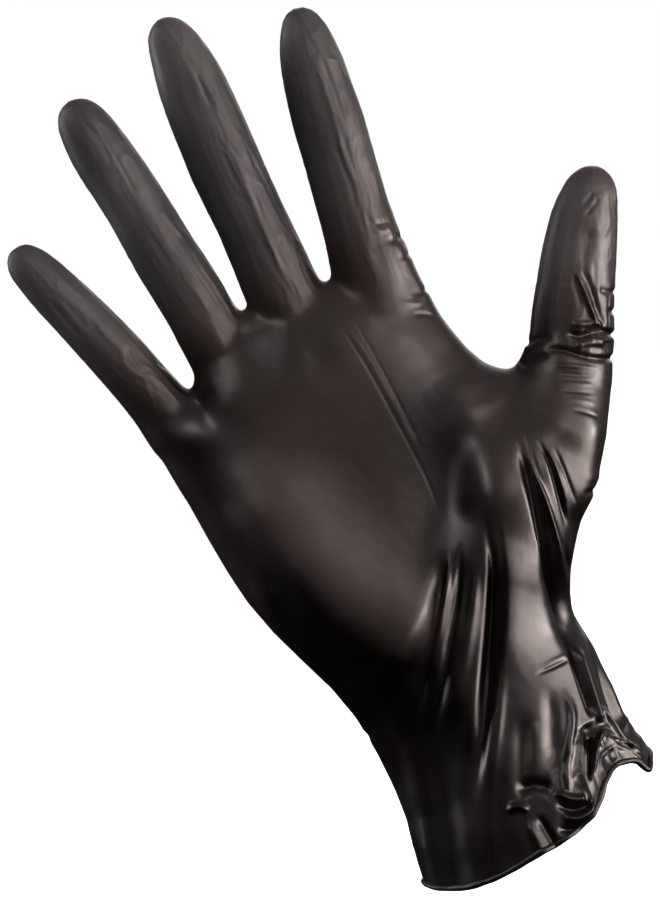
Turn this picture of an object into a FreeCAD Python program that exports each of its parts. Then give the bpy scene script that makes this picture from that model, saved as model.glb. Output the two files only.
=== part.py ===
# Disposable film glove, right hand, in its worn shape with the hand left out.
# Millimetres. Origin: centre of the cuff opening. +Z to the fingertips, +X to the
# thumb side, the palm faces -Y. Every tube is hollow, open at the end it is entered by.
import FreeCAD, Part
import os
import Sketcher

V = FreeCAD.Vector
R = FreeCAD.Rotation
P = FreeCAD.Placement

doc = FreeCAD.newDocument("film_glove")
dims = doc.addObject("Spreadsheet::Sheet", "Dims")
dims.Label = "Dims"

# name, value, what it sets
SIZES = [
    ("wall", 0.4, "thickness that stands in for the film"),
    # cuff, from the opening up
    ("bead_size", 1.8, "rolled edge, across"),
    ("cuff_start", 1.5, "height where the plain film starts above the rolled edge"),
    ("cuff_rim_w", 66.4, "opening, thumb side to little side"),
    ("cuff_rim_d", 54.0, "opening, palm to back"),
    ("cuff_mid_z", 17.0, "height of the middle section"),
    ("cuff_mid_w", 63.8, "middle section width"),
    ("cuff_mid_d", 48.5, "middle section depth"),
    ("cuff_mid_x", 1.2, "middle section centre"),
    ("cuff_top_z", 38.0, "height where the wrist film starts"),
    ("wrist_low_w", 63.6, "wrist width at the cuff"),
    ("wrist_low_d", 43.0, "wrist depth at the cuff"),
    ("wrist_low_x", 1.3, "wrist centre at the cuff"),
    ("palm_base_z", 58.0, "height where the palm starts"),
    ("wrist_top_w", 69.4, "wrist width at the palm"),
    ("wrist_top_d", 41.0, "wrist depth at the palm"),
    ("wrist_top_x", 1.0, "wrist centre at the palm"),
    ("wrist_top_y", -1.2, "wrist centre at the palm, palm side negative"),
    ("wrist_bulge", 1.6, "how far the loose wrist film stands out, on width and depth"),
    # palm sections above palm_base_z: height, width, depth, centre
    ("palm_a_z", 17.0, ""), ("palm_a_w", 77.0, ""), ("palm_a_d", 38.0, ""), ("palm_a_x", -1.2, ""), ("palm_a_y", -1.5, ""),
    ("palm_b_z", 35.0, ""), ("palm_b_w", 84.6, ""), ("palm_b_d", 34.0, ""), ("palm_b_x", -2.0, ""), ("palm_b_y", -0.8, ""),
    ("palm_c_z", 53.0, ""), ("palm_c_w", 87.0, ""), ("palm_c_d", 31.0, ""), ("palm_c_x", -2.6, ""), ("palm_c_y", -0.3, ""),
    ("palm_d_z", 70.0, ""), ("palm_d_w", 83.4, ""), ("palm_d_d", 29.0, ""), ("palm_d_x", -5.6, ""), ("palm_d_y", 0.0, ""),
    ("palm_e_z", 80.0, ""), ("palm_e_w", 82.4, ""), ("palm_e_d", 26.0, ""), ("palm_e_x", -6.8, ""), ("palm_e_y", 0.0, ""),
    ("palm_f_z", 88.0, ""), ("palm_f_w", 70.0, ""), ("palm_f_d", 22.0, ""), ("palm_f_x", -1.0, ""), ("palm_f_y", 0.0, ""),
    ("palm_g_z", 95.5, ""), ("palm_g_w", 62.0, ""), ("palm_g_d", 16.0, ""), ("palm_g_x", 2.2, ""), ("palm_g_y", 0.0, ""),
    # ball of the thumb, measured from the palm's start
    ("thenar_a_x", 10.0, ""), ("thenar_a_z", 11.0, ""), ("thenar_a_w", 18.0, ""), ("thenar_a_d", 14.0, ""), ("thenar_a_tilt", 46.0, ""),
    ("thenar_b_x", 23.5, ""), ("thenar_b_z", 21.5, ""), ("thenar_b_w", 41.0, ""), ("thenar_b_d", 36.5, ""), ("thenar_b_tilt", 46.0, ""), ("thenar_y", -3.4, ""),
    ("thenar_c_x", 41.0, ""), ("thenar_c_z", 34.0, ""), ("thenar_c_w", 32.5, ""), ("thenar_c_d", 31.0, ""), ("thenar_c_tilt", 44.0, ""),
    # digits: root centre, lean from +Z towards the thumb side, joint heights along the digit
    ("index_root_x", 24.0, ""), ("index_root_z", 154.8, ""), ("index_lean", 11.3, ""),
    ("index_pip", 24.0, ""), ("index_dip", 47.0, ""), ("index_tip", 68.0, ""),
    ("index_w_root", 20.0, ""), ("index_w_pip", 18.7, ""), ("index_w_dip", 17.6, ""),
    ("middle_root_x", 0.6, ""), ("middle_root_z", 156.5, ""), ("middle_lean", 3.7, ""),
    ("middle_pip", 28.0, ""), ("middle_dip", 55.0, ""), ("middle_tip", 79.0, ""),
    ("middle_w_root", 19.6, ""), ("middle_w_pip", 18.9, ""), ("middle_w_dip", 18.2, ""),
    ("ring_root_x", -21.2, ""), ("ring_root_z", 155.0, ""), ("ring_lean", -5.0, ""),
    ("ring_pip", 26.0, ""), ("ring_dip", 51.0, ""), ("ring_tip", 72.3, ""),
    ("ring_w_root", 17.8, ""), ("ring_w_pip", 17.2, ""), ("ring_w_dip", 16.2, ""),
    ("little_root_x", -42.1, ""), ("little_root_z", 148.5, ""), ("little_lean", -17.5, ""),
    ("little_pip", 18.0, ""), ("little_dip", 34.5, ""), ("little_tip", 51.9, ""),
    ("little_w_root", 15.4, ""), ("little_w_pip", 14.7, ""), ("little_w_dip", 13.6, ""),
    ("thumb_root_x", 58.0, ""), ("thumb_root_z", 105.0, ""), ("thumb_lean", 29.0, ""),
    ("thumb_ip", 26.9, ""), ("thumb_tip_lean", 39.7, ""), ("thumb_tip_len", 28.4, ""),
    ("thumb_w_root", 23.2, ""), ("thumb_w_ip", 20.6, ""), ("thumb_w_tip", 19.0, ""),
    ("depth_share", 0.92, "digit depth over digit width"),
    # film bands at the bending places, along the digit
    ("collar_top", 1.0, "end of the palm's collar above the digit's root"),
    ("root_band", 9.5, "length of a finger's root band"),
    ("little_root_band", 7.0, "length of the little finger's root band"),
    ("thumb_root_band", 8.0, "length of the thumb's root band"),
    ("band_below", 3.0, "knuckle band below its bending line"),
    ("band_above", 6.0, "knuckle band above its bending line"),
    ("tip_band_below", 2.7, ""), ("tip_band_above", 5.0, ""),
    ("little_share", 0.84, "little finger's bands over the other fingers'"),
    ("band_bulge", 0.6, "how far a loose band stands out, on width and depth"),
    ("collar_reach", 18.0, "how far a collar reaches down inside the palm"),
    ("dome_share", 0.78, "rounded end's length over the digit's width there"),
]

value = {}
for row, (name, number, note) in enumerate(SIZES, start=1):
    dims.set("A%d" % row, name)
    dims.set("B%d" % row, str(number))
    dims.setAlias("B%d" % row, name)
    if note:
        dims.set("C%d" % row, note)
    value[name] = float(number)
doc.recompute()


class Size:
    """A number with the sheet expression it comes from."""

    def __init__(self, number, text):
        self.n, self.t = float(number), text

    def __add__(self, other):
        o = size(other)
        return Size(self.n + o.n, "(%s + %s)" % (self.t, o.t))

    def __sub__(self, other):
        o = size(other)
        return Size(self.n - o.n, "(%s - %s)" % (self.t, o.t))

    def __mul__(self, other):
        o = size(other)
        return Size(self.n * o.n, "(%s * %s)" % (self.t, o.t))


def size(x):
    if isinstance(x, Size):
        return x
    if isinstance(x, str):
        return Size(value[x], "Dims." + x)
    return Size(x, "%.6g" % x)


def origin_plane(body, role):
    return [f for f in body.Origin.OriginFeatures if f.Role == role][0]


def section(body, name, w, d, x=0, y=0, z=0, tilt=0):
    """Ellipse across the body's Z, w along X and d along Y, tilted about Y."""
    w, d, x, y, z, tilt = [size(q) for q in (w, d, x, y, z, tilt)]
    sk = body.newObject("Sketcher::SketchObject", name)
    sk.AttachmentSupport = [(origin_plane(body, "XY_Plane"), "")]
    sk.MapMode = "FlatFace"
    sk.AttachmentOffset = P(V(x.n, y.n, z.n), R(V(0, 1, 0), tilt.n if tilt.n else 0.0))
    sk.addGeometry(Part.Ellipse(V(w.n / 2, 0, 0), V(0, d.n / 2, 0), V(0, 0, 0)), False)
    sk.exposeInternalGeometry(0)
    sk.addConstraint(Sketcher.Constraint("Coincident", 0, 3, -1, 1))
    sk.addConstraint(Sketcher.Constraint("Horizontal", 1))
    a = sk.addConstraint(Sketcher.Constraint("Distance", 1, w.n))
    b = sk.addConstraint(Sketcher.Constraint("Distance", 2, d.n))
    sk.setExpression("Constraints[%d]" % a, w.t)
    sk.setExpression("Constraints[%d]" % b, d.t)
    sk.setExpression(".AttachmentOffset.Base.x", x.t)
    sk.setExpression(".AttachmentOffset.Base.y", y.t)
    sk.setExpression(".AttachmentOffset.Base.z", z.t)
    if tilt.n:
        sk.setExpression(".AttachmentOffset.Rotation.Angle", tilt.t)
    sk.Visibility = False
    return sk


def loft(body, name, stations, inner=False, ruled=False):
    """stations: dicts for section(). inner takes the wall off and cuts."""
    sks = []
    for n, st in enumerate(stations):
        st = dict(st)
        if inner:
            st["w"] = size(st["w"]) - size("wall") * 2
            st["d"] = size(st["d"]) - size("wall") * 2
            if "drop" in st:
                st["z"] = size(st["z"]) - size("wall")
        st.pop("drop", None)
        sks.append(section(body, "%s_%d" % (name, n + 1), **st))
    kind = "PartDesign::SubtractiveLoft" if inner else "PartDesign::AdditiveLoft"
    lo = body.newObject(kind, name)
    lo.Profile = sks[0]
    lo.Sections = sks[1:]
    lo.Ruled = ruled
    body.Tip = lo
    return lo


def dome(body, name, w, d, z, length, x=0, tilt=0, inner=False):
    """Half ellipsoid standing on the plane z."""
    w, d, z, length, x, tilt = [size(q) for q in (w, d, z, length, x, tilt)]
    wall = size("wall") if inner else size(0.0)
    kind = "PartDesign::SubtractiveEllipsoid" if inner else "PartDesign::AdditiveEllipsoid"
    el = body.newObject(kind, name)
    el.AttachmentSupport = [(origin_plane(body, "XY_Plane"), "")]
    el.MapMode = "FlatFace"
    el.AttachmentOffset = P(V(x.n, 0, z.n), R(V(0, 1, 0), tilt.n))
    el.Angle1, el.Angle2, el.Angle3 = 0, 90, 360
    el.setExpression("Radius1", (length - wall).t)
    el.setExpression("Radius2", (w * 0.5 - wall).t)
    el.setExpression("Radius3", (d * 0.5 - wall).t)
    el.setExpression(".AttachmentOffset.Base.z", z.t)
    if x.n:
        el.setExpression(".AttachmentOffset.Base.x", x.t)
    if tilt.n:
        el.setExpression(".AttachmentOffset.Rotation.Angle", tilt.t)
    body.Tip = el
    return el


def new_body(name, x=None, z=None, lean=None):
    body = doc.addObject("PartDesign::Body", name)
    body.Label = name
    if x is not None or z is not None:
        bx, bz = size(x if x is not None else 0.0), size(z if z is not None else 0.0)
        bl = size(lean if lean is not None else 0.0)
        body.Placement = P(V(bx.n, 0, bz.n), R(V(0, 1, 0), bl.n))
        body.setExpression(".Placement.Base.x", bx.t)
        body.setExpression(".Placement.Base.z", bz.t)
        if bl.n:
            body.setExpression(".Placement.Rotation.Angle", bl.t)
    return body


def tube(name, stations, x=None, z=None, lean=None, ruled=False):
    """Open film tube through the stations."""
    body = new_body(name, x, z, lean)
    loft(body, name + "_outer", stations, ruled=ruled)
    loft(body, name + "_inner", stations, inner=True, ruled=ruled)
    nodes.append(body)
    return body


nodes = []

# ---- cuff: a soft tube that widens to the opening
rim = dict(w="cuff_rim_w", d="cuff_rim_d", z="cuff_start")
tube("cuff", [
    rim,
    dict(w="cuff_mid_w", d="cuff_mid_d", x="cuff_mid_x", z="cuff_mid_z"),
    dict(w="wrist_low_w", d="wrist_low_d", x="wrist_low_x", z="cuff_top_z"),
])

# ---- rolled edge of the opening, flat on top where the film rises from it
bead = new_body("cuff_bead")
path = bead.newObject("Sketcher::SketchObject", "cuff_bead_path")
path.AttachmentSupport = [(origin_plane(bead, "XY_Plane"), "")]
path.MapMode = "FlatFace"
mid_w = size("cuff_rim_w") - size("wall")
mid_d = size("cuff_rim_d") - size("wall")
path.addGeometry(Part.Ellipse(V(mid_w.n / 2, 0, 0), V(0, mid_d.n / 2, 0), V(0, 0, 0)), False)
path.exposeInternalGeometry(0)
path.addConstraint(Sketcher.Constraint("Coincident", 0, 3, -1, 1))
path.addConstraint(Sketcher.Constraint("Horizontal", 1))
ca = path.addConstraint(Sketcher.Constraint("Distance", 1, mid_w.n))
cb = path.addConstraint(Sketcher.Constraint("Distance", 2, mid_d.n))
path.setExpression("Constraints[%d]" % ca, mid_w.t)
path.setExpression("Constraints[%d]" % cb, mid_d.t)
path.Visibility = False
prof = bead.newObject("Sketcher::SketchObject", "cuff_bead_profile")
prof.AttachmentSupport = [(origin_plane(bead, "XZ_Plane"), "")]
prof.MapMode = "FlatFace"
rb = value["bead_size"] / 2
top = value["cuff_start"]
half = (rb ** 2 - (top - rb) ** 2) ** 0.5
cx = mid_w.n / 2
ring = Part.Circle(V(cx, rb, 0), V(0, 0, 1), rb)
a0 = ring.parameter(V(cx - half, top, 0))
a1 = ring.parameter(V(cx + half, top, 0))
prof.addGeometry(Part.ArcOfCircle(ring, a0, a1 if a1 > a0 else a1 + 6.283185307179586), False)
prof.addGeometry(Part.LineSegment(V(cx + half, top, 0), V(cx - half, top, 0)), False)
prof.addConstraint(Sketcher.Constraint("Coincident", 0, 2, 1, 1))
prof.addConstraint(Sketcher.Constraint("Coincident", 1, 2, 0, 1))
prof.addConstraint(Sketcher.Constraint("Horizontal", 1))
c1 = prof.addConstraint(Sketcher.Constraint("Radius", 0, rb))
c2 = prof.addConstraint(Sketcher.Constraint("DistanceX", -1, 1, 0, 3, cx))
c3 = prof.addConstraint(Sketcher.Constraint("DistanceY", -1, 1, 0, 3, rb))
c4 = prof.addConstraint(Sketcher.Constraint("DistanceY", -1, 1, 1, 1, top))
prof.setExpression("Constraints[%d]" % c1, "Dims.bead_size * 0.5")
prof.setExpression("Constraints[%d]" % c2, (mid_w * 0.5).t)
prof.setExpression("Constraints[%d]" % c3, "Dims.bead_size * 0.5")
prof.setExpression("Constraints[%d]" % c4, "Dims.cuff_start")
prof.Visibility = False
pipe = bead.newObject("PartDesign::AdditivePipe", "cuff_bead_roll")
pipe.Profile = prof
pipe.Spine = (path, ["Edge1"])
bead.Tip = pipe
nodes.append(bead)

# ---- loose film over the wrist
tube("wrist_film", [
    dict(w="wrist_low_w", d="wrist_low_d", x="wrist_low_x", z="cuff_top_z"),
    dict(w=(size("wrist_low_w") + size("wrist_top_w")) * 0.5 + size("wrist_bulge"),
         d=(size("wrist_low_d") + size("wrist_top_d")) * 0.5 + size("wrist_bulge"),
         x=(size("wrist_low_x") + size("wrist_top_x")) * 0.5, y=size("wrist_top_y") * 0.5,
         z=(size("cuff_top_z") + size("palm_base_z")) * 0.5),
    dict(w="wrist_top_w", d="wrist_top_d", x="wrist_top_x", y="wrist_top_y", z="palm_base_z"),
])

FINGERS = ["index", "middle", "ring", "little"]


def depth(w):
    return size(w) * size("depth_share")


# ---- palm: hand body, ball of the thumb and a short collar for every digit, one hollow
palm = new_body("palm", 0.0, "palm_base_z")
base = size("palm_base_z")
palm_stations = [dict(w="wrist_top_w", d="wrist_top_d", x="wrist_top_x", y="wrist_top_y", z=0.0)]
for k in "abcdef":
    palm_stations.append(dict(w="palm_%s_w" % k, d="palm_%s_d" % k, x="palm_%s_x" % k,
                              y="palm_%s_y" % k, z="palm_%s_z" % k))
palm_stations.append(dict(w="palm_g_w", d="palm_g_d", x="palm_g_x", y="palm_g_y", z="palm_g_z",
                          drop=True))
thenar_stations = [
    dict(w="thenar_a_w", d="thenar_a_d", x="thenar_a_x", y="thenar_y", z="thenar_a_z", tilt="thenar_a_tilt"),
    dict(w="thenar_b_w", d="thenar_b_d", x="thenar_b_x", y="thenar_y", z="thenar_b_z",
         tilt="thenar_b_tilt"),
    dict(w="thenar_c_w", d="thenar_c_d", x="thenar_c_x", y=size("thenar_y") * 0.5, z="thenar_c_z",
         tilt="thenar_c_tilt"),
    dict(w="thumb_w_root", d=depth("thumb_w_root"), x="thumb_root_x",
         z=size("thumb_root_z") - base, tilt="thumb_lean"),
]


def along(digit, s):
    """x and z, in the palm's own frame, of a point s up the digit from its root."""
    lean = value[digit + "_lean"]
    s = size(s)
    x = size(digit + "_root_x") + Size(s.n * sin(lean), "(%s * sin(Dims.%s_lean * 1 deg))" % (s.t, digit))
    z = size(digit + "_root_z") - base + Size(s.n * cos(lean), "(%s * cos(Dims.%s_lean * 1 deg))" % (s.t, digit))
    return x, z


def sin(deg):
    return R(V(0, 1, 0), deg).multVec(V(0, 0, 1)).x


def cos(deg):
    return R(V(0, 1, 0), deg).multVec(V(0, 0, 1)).z


def collar_stations(digit):
    w = digit + "_w_root"
    x0, z0 = along(digit, size(0.0) - size("collar_reach"))
    x1, z1 = along(digit, "collar_top")
    lean = digit + "_lean"
    return [dict(w=size(w) + 0.4, d=depth(w), x=x0, z=z0, tilt=lean),
            dict(w=w, d=depth(w), x=x1, z=z1, tilt=lean)]


loft(palm, "palm_outer", palm_stations, ruled=True)
loft(palm, "thenar_outer", thenar_stations)
for f in FINGERS:
    loft(palm, f + "_collar_outer", collar_stations(f))
loft(palm, "palm_hollow", palm_stations, inner=True, ruled=True)
loft(palm, "thenar_hollow", thenar_stations, inner=True)
for f in FINGERS:
    loft(palm, f + "_collar_hollow", collar_stations(f), inner=True)
nodes.append(palm)


# ---- fingers: three stalls and three film bands each
def width_at(digit, s):
    """Straight taper between the root, the middle knuckle and the end knuckle."""
    s = size(s)
    pip, dip = size(digit + "_pip"), size(digit + "_dip")
    wr, wp, wd = [size(digit + "_w_" + k) for k in ("root", "pip", "dip")]
    if s.n <= pip.n:
        r = Size(s.n / pip.n, "(%s / %s)" % (s.t, pip.t))
        return wr + (wp - wr) * r
    r = Size((s.n - pip.n) / (dip.n - pip.n), "((%s - %s) / (%s - %s))" % (s.t, pip.t, dip.t, pip.t))
    return wp + (wd - wp) * r


def st(digit, s, bulge=0.0):
    w = width_at(digit, s)
    if s.n <= size("collar_top").n:
        w = size(digit + "_w_root")
    b = size(bulge)
    return dict(w=w + b, d=depth(w) + b, z=s)


for f in FINGERS:
    share = size("little_share") if f == "little" else size(1.0)
    pip, dip, tip = size(f + "_pip"), size(f + "_dip"), size(f + "_tip")
    root_band = size("little_root_band") if f == "little" else size("root_band")
    s0 = size("collar_top")
    s1 = s0 + root_band
    s2 = pip - size("band_below") * share
    s3 = pip + size("band_above") * share
    s4 = dip - size("tip_band_below") * share
    s5 = dip + size("tip_band_above") * share
    at = dict(x=f + "_root_x", z=f + "_root_z", lean=f + "_lean")

    def band(name, a, b):
        mid = (a + b) * 0.5
        tube(name, [st(f, a), st(f, mid, "band_bulge"), st(f, b)], **at)

    band(f + "_root_film", s0, s1)
    tube(f + "_proximal", [st(f, s1), st(f, s2)], **at)
    band(f + "_pip_film", s2, s3)
    tube(f + "_middle", [st(f, s3), st(f, s4)], **at)
    band(f + "_dip_film", s4, s5)

    end = new_body(f + "_tip", at["x"], at["z"], at["lean"])
    w5 = width_at(f, s5)
    we = w5 - 0.5
    dome_len = we * size("dome_share")
    s6 = tip - dome_len
    lower = dict(w=w5, d=depth(w5), z=s5)
    upper = dict(w=we, d=depth(we), z=s6)
    loft(end, f + "_tip_outer", [lower, upper])
    dome(end, f + "_tip_end", we, depth(we), s6, dome_len)
    loft(end, f + "_tip_hollow", [lower, upper], inner=True)
    dome(end, f + "_tip_end_hollow", we, depth(we), s6, dome_len, inner=True)
    nodes.append(end)

# ---- thumb: two stalls and two film bands, the last one turned a little further out
at = dict(x="thumb_root_x", z="thumb_root_z", lean="thumb_lean")
ip = size("thumb_ip")
wr, wi, wt = size("thumb_w_root"), size("thumb_w_ip"), size("thumb_w_tip")
t1 = size("thumb_root_band")
t2 = ip - size("band_below")


def thumb_width(s):
    r = Size(s.n / ip.n, "(%s / %s)" % (s.t, ip.t))
    return wr + (wi - wr) * r


def tst(s, bulge=0.0):
    w, b = thumb_width(s), size(bulge)
    return dict(w=w + b, d=depth(w) + b, z=s)


tube("thumb_root_film", [tst(size(0.0)), tst(t1 * 0.5, "band_bulge"), tst(t1)], **at)
tube("thumb_proximal", [tst(t1), tst(t2)], **at)

turn = size("thumb_tip_lean") - size("thumb_lean")
turn_sin = Size(sin(turn.n), "sin(%s * 1 deg)" % turn.t)
turn_cos = Size(cos(turn.n), "cos(%s * 1 deg)" % turn.t)


def tip_st(s, w, bulge=0.0):
    """s up the thumb's end from its bending line."""
    b = size(bulge)
    return dict(w=w + b, d=depth(w) + b, x=s * turn_sin, z=ip + s * turn_cos, tilt=turn)


above = size("band_above")
w_ip_up = wi - 0.3
tube("thumb_ip_film", [
    tst(t2),
    dict(w=wi + size("band_bulge"), d=depth(wi) + size("band_bulge"), x=size(0.1), z=ip + 0.8,
         tilt=turn * 0.5),
    tip_st(above, w_ip_up),
], **at)
end = new_body("thumb_tip", at["x"], at["z"], at["lean"])
dome_len = wt * size("dome_share")
s_dome = size("thumb_tip_len") - dome_len
loft(end, "thumb_tip_outer", [tip_st(above, w_ip_up), tip_st(s_dome, wt)])
d1 = tip_st(s_dome, wt)
dome(end, "thumb_tip_end", wt, depth(wt), d1["z"], dome_len, x=d1["x"], tilt=turn)
loft(end, "thumb_tip_hollow", [tip_st(above, w_ip_up), tip_st(s_dome, wt)], inner=True)
dome(end, "thumb_tip_end_hollow", wt, depth(wt), d1["z"], dome_len, x=d1["x"], tilt=turn, inner=True)
nodes.append(end)

doc.recompute()

# ---- checks and files
bad = []
for obj in doc.Objects:
    if any(word in obj.State for word in ("Invalid", "Error")):
        bad.append("%s: %s" % (obj.Name, obj.State))
for body in nodes:
    shape = body.Shape
    if shape.isNull() or not shape.isValid() or len(shape.Solids) != 1:
        bad.append("%s: %d solids" % (body.Label, 0 if shape.isNull() else len(shape.Solids)))
if bad:
    raise RuntimeError("; ".join(bad))

os.makedirs("parts", exist_ok=True)
for body in nodes:
    body.Shape.exportStep("parts/%s.step" % body.Label)
total = sum(body.Shape.Volume for body in nodes)
for body in nodes:
    bb = body.Shape.BoundBox
    print("%-18s %9.1f mm3  x %.1f..%.1f  y %.1f..%.1f  z %.1f..%.1f" % (
        body.Label, body.Shape.Volume, bb.XMin, bb.XMax, bb.YMin, bb.YMax, bb.ZMin, bb.ZMax))
print("%d nodes, film volume %.0f mm3" % (len(nodes), total))
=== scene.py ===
import math
import bpy
import numpy as np
from mathutils import Vector, Matrix


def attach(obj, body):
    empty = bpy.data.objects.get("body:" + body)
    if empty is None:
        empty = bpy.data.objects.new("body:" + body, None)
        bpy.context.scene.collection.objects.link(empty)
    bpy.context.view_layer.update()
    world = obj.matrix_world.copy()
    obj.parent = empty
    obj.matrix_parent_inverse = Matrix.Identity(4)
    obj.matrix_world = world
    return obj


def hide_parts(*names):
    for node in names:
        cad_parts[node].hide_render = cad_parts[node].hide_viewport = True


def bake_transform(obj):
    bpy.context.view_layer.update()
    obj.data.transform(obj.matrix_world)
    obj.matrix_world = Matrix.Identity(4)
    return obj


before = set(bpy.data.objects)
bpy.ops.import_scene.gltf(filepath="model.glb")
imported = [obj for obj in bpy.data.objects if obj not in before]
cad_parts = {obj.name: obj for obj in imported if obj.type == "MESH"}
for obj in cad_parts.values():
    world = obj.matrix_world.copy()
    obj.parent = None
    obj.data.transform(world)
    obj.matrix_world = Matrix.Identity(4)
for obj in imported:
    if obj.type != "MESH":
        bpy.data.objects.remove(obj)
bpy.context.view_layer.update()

rng = np.random.default_rng(7)
# The glove is drawn in millimetres in its own plan (px, pz), then shifted to the row frame.
SHIFT = np.array([-5.5, 0.0, 3.0])
H = 0.8      # cell of the base surface, mm


def smin(a, b, k):
    h = np.maximum(k - np.abs(a - b), 0.0) / k
    return np.minimum(a, b) - h * h * k * 0.25


def smax(a, b, k):
    return -smin(-a, -b, k)


def sstep(a, b, x):
    t = np.clip((x - a) / (b - a), 0.0, 1.0)
    return t * t * (3 - 2 * t)


# ------------------------------------------------------------------ base shape
# centre line and width of each digit, ending at the tip (width 0)
DIGITS = {
    "middle": [(5.2, 140, 20.5), (6.0, 152, 19.8), (6.2, 159.5, 19.4), (6.6, 167.4, 18.7), (6.8, 175.4, 18.2),
               (6.8, 183.3, 18.7), (7.0, 191.3, 19.0), (7.4, 199.2, 18.7), (7.8, 207.1, 18.4), (8.2, 213.0, 17.7),
               (8.4, 216.6, 17.0), (8.6, 219.6, 16.0), (8.6, 222.6, 14.8), (8.6, 224.6, 14.0), (8.5, 226.6, 12.8),
               (8.3, 228.1, 11.6), (8.1, 229.6, 10.2), (8.0, 230.6, 8.9), (7.9, 231.3, 7.5), (7.9, 231.8, 6.1),
               (7.9, 232.3, 4.2), (8.0, 232.7, 0.0)],
    "index": [(27.5, 140, 22.0), (29.9, 151.4, 20.8), (31.1, 158.8, 19.4), (32.2, 166.3, 18.5), (33.6, 173.7, 18.2),
              (34.9, 181.1, 18.2), (36.2, 188.6, 18.4), (37.3, 196, 17.8), (38.4, 201.5, 17.0), (39.0, 204.5, 16.4),
              (39.5, 207.3, 15.4), (40.1, 210.0, 14.4), (40.5, 211.8, 13.4), (40.9, 213.7, 12.2), (41.1, 215.3, 10.9),
              (41.2, 216.7, 9.5), (41.3, 217.7, 8.2), (41.4, 218.4, 6.8), (41.5, 219.0, 5.6), (41.6, 219.4, 3.8),
              (41.7, 219.8, 0.0)],
    "ring": [(-14.5, 140, 19.0), (-15.6, 152, 17.8), (-15.9, 160.2, 17.4), (-16.6, 167.8, 17.5), (-17.6, 175.4, 17.3),
             (-18.2, 183, 16.8), (-18.8, 190.6, 16.4), (-19.6, 198.3, 16.2), (-20.6, 204.5, 16.0), (-21.0, 207.8, 15.8),
             (-21.4, 210.7, 15.3), (-21.6, 213.7, 14.6), (-21.9, 215.7, 13.9), (-22.1, 217.7, 13.0), (-22.3, 219.2, 12.0),
             (-22.4, 220.7, 10.5), (-22.5, 221.7, 9.0), (-22.6, 222.4, 7.5), (-22.6, 222.9, 6.0), (-22.6, 223.4, 3.6),
             (-22.5, 223.8, 0.0)],
    "little": [(-34.5, 134, 17.0), (-36.4, 143, 15.6), (-37.9, 149, 15.0), (-39.6, 155.3, 14.9), (-41.6, 161.6, 14.7),
               (-43.6, 167.8, 14.4), (-45.6, 174.1, 13.8), (-47.7, 180.0, 13.3), (-48.6, 182.9, 13.0), (-49.5, 185.8, 12.5),
               (-50.3, 187.6, 11.9), (-51.0, 189.5, 11.3), (-51.5, 190.9, 10.5), (-52.0, 192.3, 9.3), (-52.3, 193.3, 8.0),
               (-52.5, 194.0, 6.7), (-52.6, 194.5, 5.4), (-52.7, 195.0, 3.4), (-52.7, 195.4, 0.0)],
    "thumb": [(58, 96, 23.6), (65.1, 105.2, 22.4), (68.6, 109.4, 22.0), (71.0, 114.2, 21.6), (73.7, 118.8, 21.0),
              (76.6, 123.3, 20.2), (79.4, 127.9, 19.6), (82.3, 132.3, 18.7), (85.1, 136.3, 17.6), (87.2, 139.1, 16.5),
              (88.8, 141.0, 15.4), (90.2, 142.6, 14.4), (91.3, 143.8, 13.3), (92.0, 144.8, 11.9), (92.6, 145.6, 10.3),
              (92.6, 146.5, 9.0), (92.9, 147.1, 7.2), (93.2, 147.5, 5.8), (93.3, 148.0, 3.7), (93.4, 148.4, 0.0)],
}
THENAR = [(15.5, 55, 31, -3.0), (26.8, 67.5, 36.4, -4.0), (42.8, 82, 31.6, -3.4), (54.4, 92.1, 27.4, -2.0), (62.4, 101.2, 23.8, -0.6)]


def chain(pts, step=1.2):
    """Spheres that just fill the outline given by centre points and widths."""
    p = np.array(pts, float)
    s = np.r_[0, np.cumsum(np.hypot(*np.diff(p[:, :2], axis=0).T))]
    g = np.linspace(0, s[-1], int(s[-1] / 0.25) + 1)
    h2 = np.interp(g, s, ((p[:, 2] + 0.35 * (p[:, 2] > 5)) / 2) ** 2)
    for _ in range(14):
        q = h2.copy()
        q[1:-1] = (h2[:-2] + 2 * h2[1:-1] + h2[2:]) / 4
        q[-1] = 0
        h2 = q
    cx_ = np.interp(g, s, p[:, 0])
    cz_ = np.interp(g, s, p[:, 1])
    for _ in range(120):
        cx_[1:-1] = (cx_[:-2] + 2 * cx_[1:-1] + cx_[2:]) / 4
        cz_[1:-1] = (cz_[:-2] + 2 * cz_[1:-1] + cz_[2:]) / 4
    out = []
    for c in np.arange(0, s[-1], step):
        r = np.sqrt(((g - c) ** 2 + h2).min())
        if r < 2.0:
            break
        out.append((np.interp(c, g, cx_), np.interp(c, g, cz_), 2 * r))
    return out


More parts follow.
